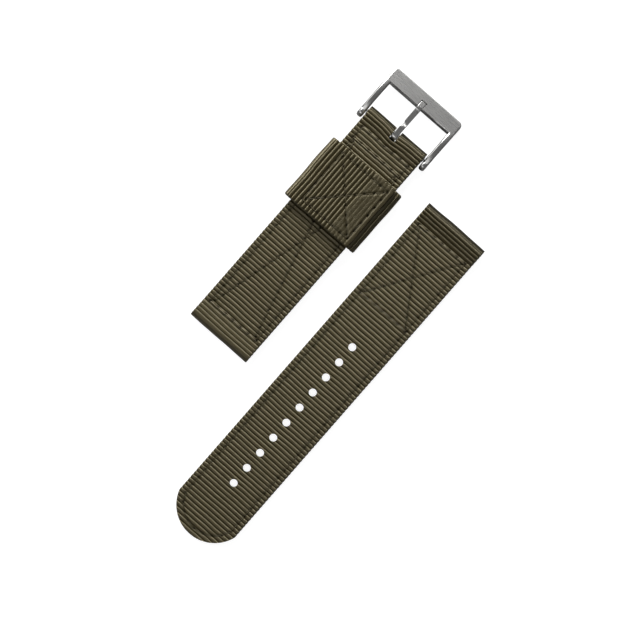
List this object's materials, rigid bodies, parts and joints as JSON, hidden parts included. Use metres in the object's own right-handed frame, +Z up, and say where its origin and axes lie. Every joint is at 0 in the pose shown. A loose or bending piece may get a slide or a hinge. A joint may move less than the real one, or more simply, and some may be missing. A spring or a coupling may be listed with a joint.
{
  "type": "watch strap",
  "caption": "Two-piece ribbed nylon watch strap with a sliding keeper, a pin buckle on a sprung bar and a tip piece with punched holes.",
  "frame": {"origin": "on the table, under the middle of the box round the two pieces as they lie side by side", "axes": "+Y along both pieces, from the tip towards the buckle; +X across them, from the buckle piece to the tip piece; +Z up from the table"},
  "size_m": [0.0566, 0.1462, 0.0063],
  "materials": {
    "webbing": "ribbed olive nylon webbing, warp faced, matt with a faint sheen",
    "thread": "twisted olive polyester sewing thread",
    "buckle_steel": "satin brushed stainless steel with softly rounded edges",
    "bar_steel": "turned stainless steel"
  },
  "bodies": {
    "buckle_piece": {"buckle_piece_webbing": "webbing", "fold_row_thread": "thread", "fold_row_bobbin_thread": "thread", "buckle_piece_border_thread": "thread", "buckle_piece_border_bobbin_thread": "thread", "buckle_piece_cross_thread": "thread", "buckle_piece_cross_bobbin_thread": "thread"},
    "keeper": {"keeper_webbing": "webbing", "keeper_thread": "thread", "keeper_bobbin_thread": "thread"},
    "buckle": {"buckle_frame": "buckle_steel", "bar_tube": "bar_steel", "bar_spring": "bar_steel"},
    "tang": {"buckle_tang": "buckle_steel"},
    "pin_left": {"bar_pin_left": "bar_steel"},
    "pin_right": {"bar_pin_right": "bar_steel"},
    "tip_piece": {"tip_piece_webbing": "webbing", "lug_row_thread": "thread", "lug_row_bobbin_thread": "thread", "tip_piece_border_thread": "thread", "tip_piece_border_bobbin_thread": "thread", "tip_piece_cross_thread": "thread", "tip_piece_cross_bobbin_thread": "thread"}
  },
  "joints": [
    {"name": "keeper_slide", "type": "slide", "parent": "buckle_piece", "child": "keeper", "axis": [0, 1, 0], "range_m": [-0.0375, 0.0075]},
    {"name": "buckle_hinge", "type": "hinge", "parent": "buckle_piece", "child": "buckle", "pos_m": [-0.0147, 0.05722, 0.00255], "axis": [1, 0, 0], "range_deg": [-75, 35]},
    {"name": "tang_hinge", "type": "hinge", "parent": "buckle", "child": "tang", "pos_m": [-0.0147, 0.05722, 0.00255], "axis": [1, 0, 0], "range_deg": [0, 60]},
    {"name": "pin_left_press", "type": "slide", "parent": "buckle", "child": "pin_left", "axis": [1, 0, 0], "range_m": [0, 0.001], "stiffness_N_per_m": 100, "springref_m": -0.0005, "deforming": ["bar_spring"]},
    {"name": "pin_right_press", "type": "slide", "parent": "buckle", "child": "pin_right", "axis": [-1, 0, 0], "range_m": [0, 0.001], "stiffness_N_per_m": 100, "springref_m": -0.0005, "deforming": ["bar_spring"]},
    {"name": "tip_piece_lift", "type": "slide", "parent": "buckle_piece", "child": "tip_piece", "axis": [0, 0, 1], "range_m": [0, 0.03]}
  ]
}
